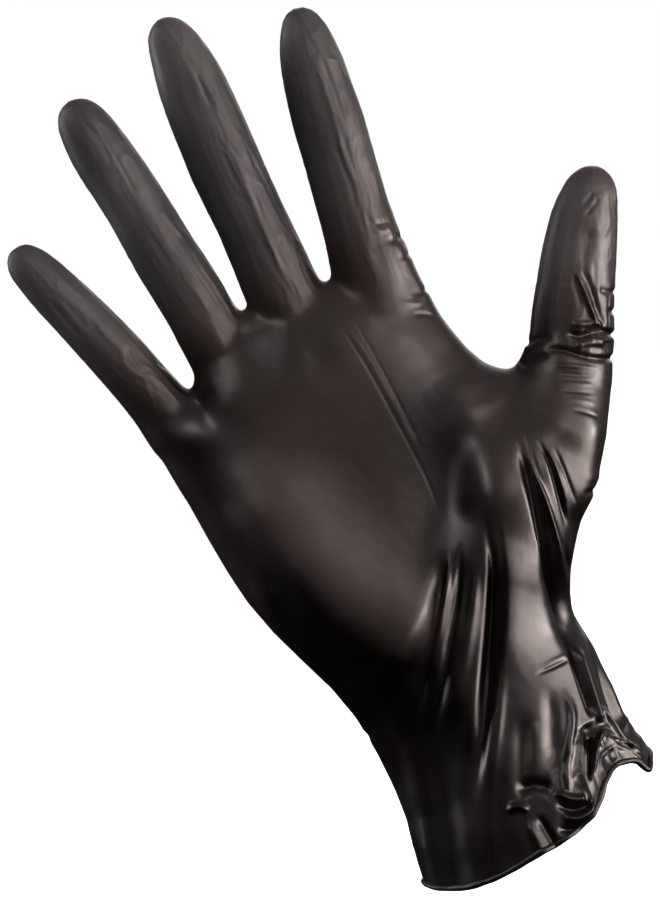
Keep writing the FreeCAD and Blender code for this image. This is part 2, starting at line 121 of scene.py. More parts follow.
# z, left, right, front (palm side), back
SLICES = np.array([
    (-12, -28.5, 38.5, -27.0, 26.5), (-3, -28.3, 38.6, -26.5, 26.0), (5, -27.2, 38.4, -25.5, 25.0),
    (15, -25.4, 37.6, -23.5, 23.2), (25, -24.9, 38.2, -22.2, 21.6), (35, -25.0, 38.5, -21.4, 20.4),
    (45, -25.8, 37.4, -21.0, 19.8), (55, -28.2, 38.0, -20.6, 19.0), (65, -31.9, 41.5, -19.8, 18.4),
    (75, -35.5, 43.5, -18.8, 17.8), (85, -38.0, 45.0, -17.6, 17.0), (95, -39.4, 48.0, -16.4, 16.4),
    (104, -40.1, 51.5, -15.8, 15.9), (110, -40.4, 48.8, -15.4, 15.6), (115, -40.7, 45.0, -15.2, 15.4),
    (120, -41.3, 42.9, -14.9, 15.1), (125, -41.7, 41.6, -14.6, 14.8), (130, -42.0, 40.6, -14.0, 14.2),
    (136, -42.5, 39.8, -13.0, 13.4), (142, -43.4, 39.4, -11.8, 12.2), (150, -46.0, 39.8, -10.5, 11.0),
    (160, -49.0, 41.0, -10.0, 10.0)], float)
TOP = np.array([(-60, 139.0), (-43, 139.5), (-34, 141.0), (-26.5, 142.0), (-21, 148.0), (-13, 152.5), (-6.2, 154.4),
                (6, 153.6), (16.5, 151.9), (27, 150.6), (36, 148.5), (44, 142.0), (60, 125.0)], float)

x0, x1, y0, y1, z0, z1 = -62.0, 103.0, -32.0, 31.0, -3.0 - 0.5 * H, 238.0
gx, gy, gz = np.arange(x0, x1, H), np.arange(y0, y1, H), np.arange(z0, z1, H)
F = np.full((len(gx), len(gy), len(gz)), 8.0, np.float32)


def block(lo, hi):
    sl = []
    for g, a, b in zip((gx, gy, gz), lo, hi):
        i = max(int(np.searchsorted(g, a)) - 1, 0)
        j = min(int(np.searchsorted(g, b)) + 1, len(g))
        sl.append(slice(i, j))
    X, Y, Z = np.meshgrid(gx[sl[0]], gy[sl[1]], gz[sl[2]], indexing="ij", sparse=True)
    return tuple(sl), X, Y, Z


def merge(pts, k, squash=0.93):
    """Chain of round cones, joined to what is there with a fillet of k."""
    P = [(p[0], p[3] if len(p) > 3 else 0.0, p[1], p[2] / 2) for p in pts]
    m = 9.0
    lo = [min(p[i] - p[3] for p in P) - m for i in (0, 1, 2)]
    hi = [max(p[i] + p[3] for p in P) + m for i in (0, 1, 2)]
    sl, X, Y, Z = block(lo, hi)
    D = None
    for a, b in zip(P[:-1], P[1:]):
        dx, dy, dz = b[0] - a[0], b[1] - a[1], b[2] - a[2]
        L2 = dx * dx + dy * dy + dz * dz
        t = np.clip(((X - a[0]) * dx + (Y - a[1]) * dy + (Z - a[2]) * dz) / L2, 0, 1)
        qx, qy, qz = X - (a[0] + t * dx), (Y - (a[1] + t * dy)) / squash, Z - (a[2] + t * dz)
        d = np.sqrt(qx * qx + qy * qy + qz * qz) - (a[3] + t * (b[3] - a[3]))
        D = d if D is None else np.minimum(D, d)
    D = D.astype(np.float32)
    F[sl] = smin(F[sl], D, k)


# palm, wrist and cuff as one tube of rounded sections
sl, X, Y, Z = block((-60, -32, z0), (60, 31, 165))
L = np.interp(Z, SLICES[:, 0], SLICES[:, 1])
Rr = np.interp(Z, SLICES[:, 0], SLICES[:, 2])
Fy = np.interp(Z, SLICES[:, 0], SLICES[:, 3])
By = np.interp(Z, SLICES[:, 0], SLICES[:, 4])
cx, hx = (L + Rr) / 2, (Rr - L) / 2
cy = (Fy + By) / 2
hy = (By - Fy) / 2
u, v = np.abs(X - cx) / hx, np.abs(Y - cy) / hy
n = 2.0 + 0.45 * sstep(30, 80, Z)
left_front = (1 - sstep(-0.35, 0.1, (X - cx) / hx)) * (1 - sstep(-0.35, 0.1, (Y - cy) / hy))
n = n - 0.62 * left_front * (1 - sstep(58, 84, Z)) * (0.35 + 0.65 * sstep(-12, 30, Z))
k0 = (u ** n + v ** n) ** (1 / n) + 1e-6
grad = np.sqrt((u ** (n - 1) / hx) ** 2 + (v ** (n - 1) / hy) ** 2) / k0 ** (n - 1)
D = (k0 - 1) / np.maximum(grad, 1e-3)
top = np.interp(X, TOP[:, 0], TOP[:, 1])
D = smax(D, (Z - top) * 0.8, 5.0)
D = smax(D, np.abs(Y + 0.8) - (3.6 + 0.75 * (top - Z)), 4.0)
F[sl] = np.minimum(F[sl], D.astype(np.float32))
merge(THENAR, 9.0, 0.99)
merge(chain(DIGITS["thumb"]), 3.2, 0.95)
for f in ("little", "ring", "middle", "index"):
    merge(chain(DIGITS[f]), 1.6)


# ------------------------------------------------------------------ surface of the field
def surface(F):
    inside = F < 0
    nx, ny, nz = F.shape
    c = np.zeros((nx - 1, ny - 1, nz - 1), np.uint8)
    for i in (0, 1):
        for j in (0, 1):
            for k in (0, 1):
                c += inside[i:nx - 1 + i, j:ny - 1 + j, k:nz - 1 + k]
    act = (c > 0) & (c < 8)
    idx = np.argwhere(act)
    vid = np.full(act.shape, -1, np.int32)
    vid[act] = np.arange(len(idx))
    acc = np.zeros((len(idx), 3))
    cnt = np.zeros(len(idx))
    corners = [(i, j, k) for i in (0, 1) for j in (0, 1) for k in (0, 1)]
    for a in corners:
        for ax in range(3):
            if a[ax] == 1:
                continue
            b = list(a)
            b[ax] = 1
            fa = F[idx[:, 0] + a[0], idx[:, 1] + a[1], idx[:, 2] + a[2]]
            fb = F[idx[:, 0] + b[0], idx[:, 1] + b[1], idx[:, 2] + b[2]]
            cr = (fa < 0) != (fb < 0)
            t = fa / (fa - fb + 1e-12)
            p = np.tile(np.array(a, float), (len(idx), 1))
            p[:, ax] = t
            acc[cr] += p[cr]
            cnt[cr] += 1
    pos = idx + acc / cnt[:, None]
    V = np.stack([gx[0] + pos[:, 0] * H, gy[0] + pos[:, 1] * H, gz[0] + pos[:, 2] * H], 1)
    quads = []
    for ax in range(3):
        o1, o2 = [a for a in range(3) if a != ax]
        s0 = [slice(None)] * 3
        s1 = [slice(None)] * 3
        s0[ax], s1[ax] = slice(0, -1), slice(1, None)
        e0, e1 = inside[tuple(s0)], inside[tuple(s1)]
        e = np.argwhere(e0 != e1)
        ok = (e[:, o1] > 0) & (e[:, o2] > 0) & (e[:, o1] < F.shape[o1] - 1) & (e[:, o2] < F.shape[o2] - 1)
        e = e[ok]
        a = e.copy()
        b = e.copy(); b[:, o1] -= 1
        cc = e.copy(); cc[:, o1] -= 1; cc[:, o2] -= 1
        d = e.copy(); d[:, o2] -= 1
        q = np.stack([vid[tuple(k.T)] for k in (a, b, cc, d)], 1)
        flip = inside[tuple(e.T)]
        if ax == 1:
            flip = ~flip
        q[flip] = q[flip][:, ::-1]
        quads.append(q)
    Q = np.vstack(quads)
    Q = Q[(Q >= 0).all(1)]
    return V, Q


def edges_of(Q):
    E = np.vstack([Q[:, [0, 1]], Q[:, [1, 2]], Q[:, [2, 3]], Q[:, [3, 0]]])
    E = np.sort(E, 1)
    return np.unique(E, axis=0, return_counts=True)


def normals_of(V, Q):
    d1, d2 = V[Q[:, 2]] - V[Q[:, 0]], V[Q[:, 3]] - V[Q[:, 1]]
    fn = np.cross(d1, d2)
    N = np.zeros_like(V)
    for k in range(4):
        for a in range(3):
            N[:, a] += np.bincount(Q[:, k], fn[:, a], len(V))
    return N / (np.linalg.norm(N, axis=1)[:, None] + 1e-12)


def smooth(V, E, rounds, lock=None, lam=0.5, mu=-0.52):
    deg = np.bincount(E.ravel(), minlength=len(V)).astype(float)[:, None]
    V = V.copy()
    for r in range(rounds):
        for w in (lam, mu):
            S = np.zeros_like(V)
            for a in range(3):
                S[:, a] = np.bincount(E[:, 0], V[E[:, 1], a], len(V)) + np.bincount(E[:, 1], V[E[:, 0], a], len(V))
            D = S / deg - V
            if lock is not None:
                D[lock] = 0
            V = V + w * D
    return V


V, Q = surface(F)
E, cnt = edges_of(Q)
rim_v = np.zeros(len(V), bool)
rim_v[E[cnt == 1].ravel()] = True
V[rim_v, 2] = -3.0
V = smooth(V, E, 6, lock=rim_v, lam=0.6, mu=-0.35)


def to_mesh(name, V, faces4):
    me = bpy.data.meshes.new(name)
    me.vertices.add(len(V))
    me.vertices.foreach_set("co", np.ascontiguousarray(V, np.float32).ravel())
    me.loops.add(len(faces4) * 4)
    me.loops.foreach_set("vertex_index", np.ascontiguousarray(faces4, np.int32).ravel())
    me.polygons.add(len(faces4))
    me.polygons.foreach_set("loop_start", np.arange(0, len(faces4) * 4, 4, dtype=np.int32))
    me.polygons.foreach_set("loop_total", np.full(len(faces4), 4, np.int32))
    me.update(calc_edges=True)
    return me


def subdivide(V, Q):
    me = to_mesh("tmp", V, Q)
    ob = bpy.data.objects.new("tmp", me)
    bpy.context.scene.collection.objects.link(ob)
    m = ob.modifiers.new("s", "SUBSURF")
    m.levels = 1
    m.render_levels = 1
    m.boundary_smooth = "PRESERVE_CORNERS"
    dg = bpy.context.evaluated_depsgraph_get()
    ev = ob.evaluated_get(dg).to_mesh()
    V2 = np.zeros(len(ev.vertices) * 3, np.float32)
    ev.vertices.foreach_get("co", V2)
    Q2 = np.zeros(len(ev.loops), np.int32)
    ev.loops.foreach_get("vertex_index", Q2)
    ob.evaluated_get(dg).to_mesh_clear()
    bpy.data.objects.remove(ob)
    bpy.data.meshes.remove(me)
    return V2.reshape(-1, 3).astype(float), Q2.reshape(-1, 4)


V, Q = subdivide(V, Q)
N = normals_of(V, Q)
# outward check
if ((V - V.mean(0)) * N).sum(1).mean() < 0:
    Q = Q[:, ::-1]
    N = -N
BASE = V.copy()
px, py, pz = V.T


# ------------------------------------------------------------------ folds and creases
def hashed(i, j, k, seed):
    n = (i * 73856093) ^ (j * 19349663) ^ (k * 83492791) ^ (seed * 2654435)
    n = (n ^ (n >> 13)) * 1274126177
    return ((n & 0x7FFFFFFF) / 0x7FFFFFFF).astype(np.float64)


def noise(p, seed=0):
    """Smooth noise, about -1 to 1."""
    f = np.floor(p).astype(np.int64)
    t = p - f
    t = t * t * t * (t * (t * 6 - 15) + 10)
    out = 0
    for a in (0, 1):
        for b in (0, 1):
            for c in (0, 1):
                w = (t[:, 0] if a else 1 - t[:, 0]) * (t[:, 1] if b else 1 - t[:, 1]) * (t[:, 2] if c else 1 - t[:, 2])
                out = out + w * hashed(f[:, 0] + a, f[:, 1] + b, f[:, 2] + c, seed)
    return out * 2 - 1


def ridged(p, seed=0):
    return 1 - 2 * np.abs(noise(p, seed))


C26, S26 = math.cos(math.radians(26)), math.sin(math.radians(26))
FRONT = 1 - sstep(-0.35, 0.05, N[:, 1])
WIDE = 1 - sstep(-0.05, 0.35, N[:, 1])
BACKW = sstep(-0.1, 0.5, N[:, 1])
disp = np.zeros(len(V))


def stroke(pts, width, amp, taper=(0.25, 0.25), lop=1.0, side=None, sharp=1.0, grow=(1.0, 1.0)):
    """Fold along a line of the plan: width is its half width and amp its height, mm (negative: a crease).
    lop scales the width on the side to the right of someone walking the line."""
    global disp
    pts = np.array(pts, float)
    for _ in range(3 if width > 1.5 else 2):
        if len(pts) > 2:
            a_, b_ = pts[:-1], pts[1:]
            mid = np.stack([a_ * 0.75 + b_ * 0.25, a_ * 0.25 + b_ * 0.75], 1).reshape(-1, 2)
            pts = np.vstack([pts[:1], mid[1:-1], pts[-1:]])
    m = 3.5 * width * max(lop, 1) * max(grow) + 1
    sel = np.where((px > pts[:, 0].min() - m) & (px < pts[:, 0].max() + m) &
                   (pz > pts[:, 1].min() - m) & (pz < pts[:, 1].max() + m) & (WIDE > 0))[0]
    if len(sel) == 0:
        return
    x, z = px[sel], pz[sel]
    seg = np.diff(pts, axis=0)
    ln = np.linalg.norm(seg, axis=1)
    cum = np.r_[0, np.cumsum(ln)]
    best = np.full(len(sel), 1e9)
    sd = np.zeros(len(sel))
    tt = np.zeros(len(sel))
    for i in range(len(seg)):
        d = seg[i] / ln[i]
        rx, rz = x - pts[i, 0], z - pts[i, 1]
        t = np.clip(rx * d[0] + rz * d[1], 0, ln[i])
        ex, ez = rx - t * d[0], rz - t * d[1]
        dist = np.hypot(ex, ez)
        s = np.sign(ex * d[1] - ez * d[0])
        up = dist < best
        best[up], sd[up], tt[up] = dist[up], s[up], (cum[i] + t[up]) / cum[-1]
    w = np.where(sd > 0, width * lop, width) * (grow[0] + (grow[1] - grow[0]) * sstep(0, 0.7, tt))
    prof = np.exp(-(best / w) ** (2 * sharp))
    tp = sstep(0, max(taper[0], 1e-3), tt) * (1 - sstep(1 - max(taper[1], 1e-3), 1, tt))
    mask = (side if side is not None else FRONT)[sel]
    disp[sel] += amp * prof * tp * mask


def plan(pts):
    """Points given in the tilted plan of the design sheet, 3.81 units a millimetre."""
    out = []
    for a, b in pts:
        X_, Y_ = (a - 520) / 3.81, (830 - b) / 3.81
        out.append((X_ * C26 + Y_ * S26, -X_ * S26 + Y_ * C26))
    return out


U = 1 / 3.81


def S(pts, w, amp, **k):
    stroke(plan(pts), w * U, amp, **k)


def bump(c, r, amp, side=None, stretch=(1.0, 1.0, 0.0)):
    """Broad swelling or hollow; stretch is length, width and the turn of its long axis in degrees."""
    global disp
    (x, z), = plan([c])
    a = math.radians(stretch[2])
    dx, dz = px - x, pz - z
    uu = (dx * math.sin(a) + dz * math.cos(a)) / (r * U * stretch[0])
    vv = (dx * math.cos(a) - dz * math.sin(a)) / (r * U * stretch[1])
    disp += amp * np.exp(-(uu ** 2 + vv ** 2)) * (side if side is not None else FRONT)


ALL = np.ones(len(V))
TH = WIDE
# palm: the rise of its outer heel, the hollow, and the ball of the thumb
S([(226, 440), (262, 508), (302, 566), (352, 620), (424, 660)], 58, 5.0, taper=(0.3, 0.10), lop=0.6)
S([(420, 376), (434, 430), (442, 480), (448, 530), (450, 570)], 26, -0.7, taper=(0.5, 0.3), lop=1.8)
S([(446, 344), (474, 420), (493, 490), (508, 552)], 38, 3.7, taper=(0.6, 0.3), lop=0.8)
S([(588, 400), (588, 440), (583, 480), (570, 524)], 15, 1.7, taper=(0.3, 0.3))
bump((556, 460), 42, 1.2, stretch=(1.5, 0.95, 8))
S([(556, 450), (578, 420), (590, 380)], 24, 0.9, taper=(0.3, 0.3))
# pads under the fingers, with soft valleys between them
S([(300, 318), (316, 352), (334, 392)], 15, -0.4, taper=(0.3, 0.5))
S([(244, 318), (254, 350), (276, 396)], 26, -0.8, taper=(0.2, 0.5), lop=0.7)
S([(196, 392), (214, 416), (240, 450)], 20, -0.7, taper=(0.2, 0.5), lop=0.7)
# long double line across the palm
S([(336, 320), (356, 350), (375, 382), (397, 424), (417, 460), (433, 494), (440, 524)], 1.3, -0.11, taper=(0.15, 0.15))
S([(346, 308), (372, 352), (393, 392), (414, 434), (432, 470)], 1.2, -0.07, taper=(0.25, 0.3))
S([(343, 322), (364, 352), (384, 388), (406, 430), (425, 466)], 1.6, 0.05, taper=(0.25, 0.3))
# folds pulled from the hollow of the hand down over the wrist
S([(443, 545), (437, 594), (428, 642), (418, 690), (408, 740)], 7.0, -2.0, taper=(0.25, 0.55), lop=1.6, grow=(0.6, 1.1))
S([(449, 548), (446, 584), (440, 614), (430, 660), (424, 705)], 3.6, 1.15, taper=(0.3, 0.6), lop=0.9, grow=(0.6, 1.1))
S([(460, 532), (456, 590), (447, 640), (437, 700), (428, 745)], 4.4, -1.1, taper=(0.3, 0.4), grow=(0.6, 1.2))
S([(475, 545), (472, 596), (464, 638), (454, 686), (445, 730), (439, 756)], 8.8, 1.2, taper=(0.28, 0.6), lop=0.9, grow=(0.5, 1.1))
S([(480, 506), (490, 556), (491, 610), (486, 670), (478, 740), (469, 800)], 6.4, -2.8, taper=(0.35, 0.3), grow=(0.6, 1.1))
S([(498, 516), (503, 550), (504, 590), (502, 640), (498, 690), (492, 740)], 27, 1.55, taper=(0.25, 0.62), lop=0.15,
  sharp=0.8, grow=(0.6, 1.1))
S([(500, 650), (497, 700), (491, 755), (485, 806), (479, 856)], 5.5, 0.9, taper=(0.35, 0.25), lop=5.0)
S([(520, 700), (518, 750), (514, 800)], 8.0, -0.9, taper=(0.4, 0.3))
S([(516, 440), (523, 476), (534, 520), (546, 560), (560, 606), (572, 652), (584, 696)], 4.6, -2.6, taper=(0.15, 0.3), lop=0.8)
S([(541, 540), (552, 576), (565, 622), (577, 662)], 10.0, -2.3, taper=(0.3, 0.35))
S([(524, 452), (537, 492), (550, 530), (561, 568), (574, 614)], 3.8, 1.2, taper=(0.3, 0.4), lop=0.7, grow=(0.6, 1.0))
S([(535, 440), (545, 464), (554, 494), (563, 528)], 2.0, -1.1, taper=(0.25, 0.3), grow=(0.7, 1.2))
S([(541, 444), (552, 472), (561, 504)], 2.4, 0.5, taper=(0.3, 0.3), lop=0.6)
S([(549, 446), (560, 474), (570, 506)], 1.5, -0.45, taper=(0.3, 0.35))
S([(523, 434), (530, 462), (540, 494)], 1.6, -0.4, taper=(0.3, 0.4))
S([(560, 536), (569, 566), (579, 600), (590, 636)], 2.8, -1.3, taper=(0.3, 0.4))
S([(575, 590), (588, 630), (603, 670), (622, 712), (640, 746)], 4.6, 1.5, taper=(0.3, 0.15), lop=0.7)
S([(584, 606), (595, 650), (609, 696), (626, 742)], 4.0, -1.9, taper=(0.3, 0.2))
S([(396, 238), (408, 262), (424, 292), (440, 318)], 6.0, 0.55, taper=(0.3, 0.3), side=ALL)
S([(567, 640), (577, 676), (591, 718)], 3.0, -1.4, taper=(0.25, 0.2))
S([(572, 636), (584, 676), (594, 708), (602, 730)], 3.8, 1.7, taper=(0.25, 0.15), lop=0.7)
S([(584, 722), (592, 740), (596, 764)], 7.5, -1.9, taper=(0.25, 0.3))
S([(597, 702), (612, 726), (634, 752)], 3.2, 1.2, taper=(0.2, 0.15), lop=0.7)
S([(530, 672), (546, 666), (566, 657)], 1.5, -0.5, taper=(0.4, 0.2))
S([(538, 664), (550, 659), (566, 651)], 2.4, 0.14, taper=(0.4, 0.2))
S([(543, 680), (549, 704), (548, 730), (553, 766)], 8.0, -1.0, taper=(0.4, 0.3))
S([(560, 682), (570, 712), (566, 750), (561, 772), (566, 790)], 4.6, 1.1, taper=(0.3, 0.2), lop=0.8)
S([(536, 716), (533, 744), (528, 772)], 9.0, 0.35, taper=(0.3, 0.3))
S([(510, 782), (528, 774), (548, 780)], 5.0, -1.5, taper=(0.3, 0.3))
S([(500, 800), (512, 793), (524, 799)], 3.0, 1.2, taper=(0.3, 0.3))
S([(548, 782), (566, 792), (584, 794)], 3.0, 1.5, taper=(0.25, 0.2))
S([(548, 792), (568, 801), (590, 800)], 2.6, -1.4, taper=(0.25, 0.2))
S([(554, 804), (574, 810), (594, 802)], 3.0, 1.5, taper=(0.25, 0.2))
S([(548, 814), (570, 818), (592, 812)], 2.6, -1.3, taper=(0.25, 0.2))
S([(552, 826), (574, 826), (592, 820)], 3.0, 1.3, taper=(0.25, 0.2))
S([(530, 800), (540, 820), (552, 838)], 4.0, -1.3, taper=(0.3, 0.2))
S([(520, 806), (530, 826), (540, 846)], 4.0, 0.8, taper=(0.3, 0.2))
S([(598, 742), (594, 762), (590, 786)], 3.2, -1.6, taper=(0.2, 0.2))
S([(606, 736), (602, 758), (597, 786)], 3.2, 1.4, taper=(0.2, 0.2))
S([(405, 752), (412, 790), (424, 830), (430, 862)], 6.0, 0.35, taper=(0.4, 0.2))
# thumb
S([(583, 218), (591, 208), (599, 196)], 2.0, -0.5, taper=(0.3, 0.3), side=TH)
S([(580, 207), (588, 199), (594, 191)], 1.8, -0.4, taper=(0.3, 0.3), side=TH)
S([(586, 211), (594, 202), (600, 194)], 2.0, 0.28, taper=(0.3, 0.3), side=TH)
S([(574, 272), (580, 288), (587, 306), (594, 327)], 2.6, 1.2, taper=(0.15, 0.15), lop=0.7, side=TH)
S([(582, 272), (589, 290), (596, 310), (602, 328)], 2.6, -0.8, taper=(0.2, 0.15), side=TH)
S([(570, 270), (574, 290), (580, 312)], 2.0, -0.25, taper=(0.3, 0.3), side=TH)
S([(598, 288), (606, 294), (616, 291)], 3.0, -0.5, taper=(0.3, 0.1), side=ALL)
S([(562, 333), (578, 338), (590, 334), (606, 331), (620, 338)], 2.8, -1.1, taper=(0.2, 0.05), side=ALL)
S([(568, 326), (584, 325), (602, 324)], 3.0, 0.7, taper=(0.2, 0.2), side=TH)
S([(572, 347), (590, 343), (604, 345)], 3.4, 0.8, taper=(0.2, 0.2), side=TH)
S([(542, 350), (562, 350), (584, 358), (606, 360), (620, 356)], 2.8, -1.0, taper=(0.2, 0.1), side=TH)
S([(584, 338), (596, 341), (612, 340)], 2.0, 0.5, taper=(0.25, 0.25), side=TH)
S([(548, 366), (574, 367), (600, 370)], 1.9, 0.30, taper=(0.3, 0.3), side=TH)
S([(552, 374), (574, 376), (596, 377)], 1.8, -0.27, taper=(0.3, 0.3), side=TH)
S([(556, 383), (574, 385), (594, 385)], 1.8, 0.24, taper=(0.3, 0.3), side=TH)
S([(556, 391), (572, 393), (592, 394)], 1.8, -0.24, taper=(0.3, 0.3), side=TH)
S([(562, 400), (578, 402), (592, 404)], 1.8, 0.18, taper=(0.3, 0.3), side=TH)
S([(566, 411), (578, 413), (594, 419)], 1.6, -0.30, taper=(0.3, 0.3), side=TH)
S([(520, 366), (534, 358), (550, 354)], 3.2, -0.9, taper=(0.05, 0.4), side=ALL)
S([(524, 344), (538, 338), (552, 338)], 3.0, -0.6, taper=(0.05, 0.4), side=ALL)
S([(604, 312), (612, 312), (622, 312)], 3.0, -0.7, taper=(0.4, 0.05), side=ALL)
S([(586, 228), (588, 250), (580, 268)], 8.0, -0.6, taper=(0.3, 0.3), side=TH)
# outline of the thumb's heel and the index side
S([(572, 492), (582, 490), (596, 486)], 3.0, -0.6, taper=(0.4, 0.05), side=ALL)
S([(570, 478), (582, 477), (598, 474)], 5.0, 0.3, taper=(0.4, 0.05), side=ALL)
S([(384, 246), (394, 240), (408, 234)], 3.6, -0.30, taper=(0.4, 0.05), side=ALL)
S([(396, 262), (406, 256), (418, 250)], 3.2, -0.30, taper=(0.4, 0.05), side=ALL)
S([(410, 298), (420, 292), (434, 288)], 3.2, -0.36, taper=(0.4, 0.05), side=ALL)
S([(350, 744), (362, 738), (378, 734)], 5.0, -0.5, taper=(0.05, 0.5), side=ALL)
S([(366, 222), (378, 226), (391, 222)], 2.0, -0.20, taper=(0.4, 0.3), side=TH)
S([(365, 230), (380, 233), (393, 229)], 2.4, 0.15, taper=(0.4, 0.3), side=TH)
S([(410, 316), (424, 314), (436, 318)], 2.2, -0.24, taper=(0.4, 0.3), side=TH)
S([(398, 302), (410, 305), (424, 303)], 2.6, 0.16, taper=(0.4, 0.3), side=TH)
# fingers: soft lines
S([(48, 298), (62, 316), (86, 343)], 2.9, -0.36, taper=(0.25, 0.4))
S([(56, 296), (72, 316), (94, 340)], 3.4, 0.24, taper=(0.25, 0.4))
S([(226, 130), (240, 172), (256, 216), (276, 262), (296, 298)], 6.0, 0.30, taper=(0.2, 0.2), lop=0.5)
S([(238, 132), (262, 176), (282, 216), (300, 262)], 2.2, -0.27, taper=(0.3, 0.3), side=TH)
S([(246, 178), (258, 204), (268, 236)], 1.9, -0.21, taper=(0.3, 0.3))
S([(258, 214), (268, 240), (284, 276)], 1.9, 0.21, taper=(0.3, 0.3))
S([(196, 74), (206, 96), (214, 116)], 1.9, -0.24, taper=(0.3, 0.3))
S([(204, 74), (213, 96), (222, 120)], 2.0, 0.21, taper=(0.3, 0.3))
S([(226, 140), (240, 160), (256, 180)], 2.0, -0.24, taper=(0.3, 0.3))
S([(312, 58), (328, 98), (338, 138)], 2.4, 0.24, taper=(0.3, 0.3))
S([(320, 54), (336, 96), (348, 136)], 1.9, -0.24, taper=(0.3, 0.3))
S([(338, 128), (340, 150), (350, 176)], 1.9, 0.24, taper=(0.3, 0.3))
S([(344, 132), (348, 156), (360, 190)], 1.9, -0.21, taper=(0.3, 0.3))
S([(160, 208), (170, 222), (184, 240)], 2.5, 0.27, taper=(0.3, 0.3))
S([(166, 200), (178, 220), (192, 238)], 1.9, -0.21, taper=(0.3, 0.3))
S([(176, 250), (200, 290), (216, 330)], 6.8, 0.30, taper=(0.3, 0.3), lop=0.7)
S([(112, 150), (128, 178), (138, 200)], 2.2, -0.15, taper=(0.3, 0.3))

# film pulled along each digit: faint lines running with it
for name, pts in DIGITS.items():
    pts = np.array(pts, float)
    o, e = pts[1, :2], pts[-1, :2]
    d = (e - o) / np.linalg.norm(e - o)
    s = (px - o[0]) * d[0] + (pz - o[1]) * d[1]
    r = (px - o[0]) * d[1] - (pz - o[1]) * d[0]
    near = sstep(-14, 6, s) * np.where(s > 3, (np.abs(r) < 15) * 1.0, 1 - sstep(7.5, 11.5, np.abs(r)))
    if name == "thumb":
        near = near * sstep(-8, 10, s)
    q = np.stack([r * 0.42, py * 0.42, s * 0.035 + 7], 1)
    q2 = np.stack([r * 0.85 + s * 0.04, py * 0.85, s * 0.09 + 3], 1)
    disp += near * (0.10 * noise(q, 11) + 0.05 * noise(q2, 12))
    q4 = np.stack([r * 0.50 + 0.9 * noise(np.stack([px, py, pz], 1) * 0.13, 61), py * 0.30, s * 0.085 + 0.5 * noise(np.stack([px, py, pz], 1) * 0.2, 62)], 1)
    disp += near * FRONT * (0.35 + 0.65 * sstep(-3, 3, r)) * 0.19 * (np.maximum(ridged(q4, 63), 0.0) - 0.3)
    q5 = np.stack([r * 1.05 + 0.8 * noise(np.stack([px, py, pz], 1) * 0.25, 71), py * 0.6, s * 0.19 + 0.8 * noise(np.stack([px, py, pz], 1) * 0.3, 72)], 1)
    disp += near * FRONT * (0.2 + 0.8 * sstep(-4, 2, r)) * 0.05 * noise(q5, 73)
    # short cross wrinkles where it bends
    L_ = np.linalg.norm(e - o)
    for frac, wd in ((0.40, 5.0), (0.74, 4.0)):
        g = np.exp(-((s / L_ - frac) * L_ / wd) ** 2) * (np.abs(r) < 15)
        q3 = np.stack([r * 0.22, py * 0.22, s * 0.75], 1)
        disp += g * (0.05 + 0.11 * BACKW) * noise(q3, 21)

# sides and back: folds from the loose cuff up to the wrist, and a few across the back of the wrist
ang = np.degrees(np.arctan2(py, px - 5.5))
BACK = 1 - FRONT
for a0, lean, z_hi, w_, h_ in ((20, -0.25, 58, 7, 1.3), (34, -0.1, 50, 6, -1.5), (52, -0.35, 66, 7, 1.4), (68, -0.2, 52, 6, -1.5),
                               (84, 0.1, 60, 8, 1.2), (101, 0.2, 50, 6, -1.6), (117, 0.1, 64, 7, 1.3), (134, 0.25, 48, 6, -1.3),
                               (150, 0.3, 56, 7, 1.1), (166, 0.2, 46, 6, -1.0), (-166, 0.3, 52, 6, 0.8), (-150, 0.5, 44, 7, -0.5)
                               ):
    da = (ang - (a0 + lean * pz) + 180) % 360 - 180
    fade = (1 - sstep(z_hi - 34, z_hi, pz)) * (0.45 + 0.55 * (1 - sstep(-3, 45, pz)))
    keep = np.where(np.abs(a0) > 115, 1.0 - 0.7 * sstep(-30, 0, -np.abs(ang)), BACK) if a0 < 0 else BACK
    disp += h_ * np.exp(-(da / w_) ** 2) * fade * keep
zz = 49 + 3.0 * np.sin(np.radians(ang * 1.3))
for dz, h_ in ((-7, 0.5), (-4.5, -0.6), (0, 0.55), (2.6, -0.65), (6.5, 0.4), (9, -0.4)):
    disp += BACKW * 0.8 * h_ * np.exp(-((pz - zz - dz - 2.2 * noise(np.stack([px * 0.06, py * 0.06, pz * 0.03], 1), 5 + int(dz + 10))) / 1.6) ** 2)
# loose film near the opening
low = 1 - sstep(0, 34, pz)
calm = 1 - 0.85 * FRONT * (1 - sstep(-4, 14, px))
crump = (1 - sstep(4, 22, pz)) * (0.35 + 0.65 * sstep(5, 25, px)) * calm
disp += low * calm * 0.5 * noise(np.stack([px * 0.09, py * 0.09, pz * 0.03], 1), 31)
disp += crump * 0.42 * ridged(np.stack([px * 0.17, py * 0.17, pz * 0.20], 1), 33)
q_ = np.stack([px * 0.30 + 0.8 * noise(np.stack([px, py, pz], 1) * 0.15, 51), py * 0.30, pz * 0.26], 1)
disp += crump * FRONT * 0.22 * ridged(q_, 35)
# faint unevenness everywhere
disp += 0.07 * noise(np.stack([px * 0.11, py * 0.11, pz * 0.08], 1), 41)
disp += 0.018 * noise(np.stack([px * 0.45 + pz * 0.1, py * 0.45, pz * 0.32], 1), 43)
V = V + N * disp[:, None]

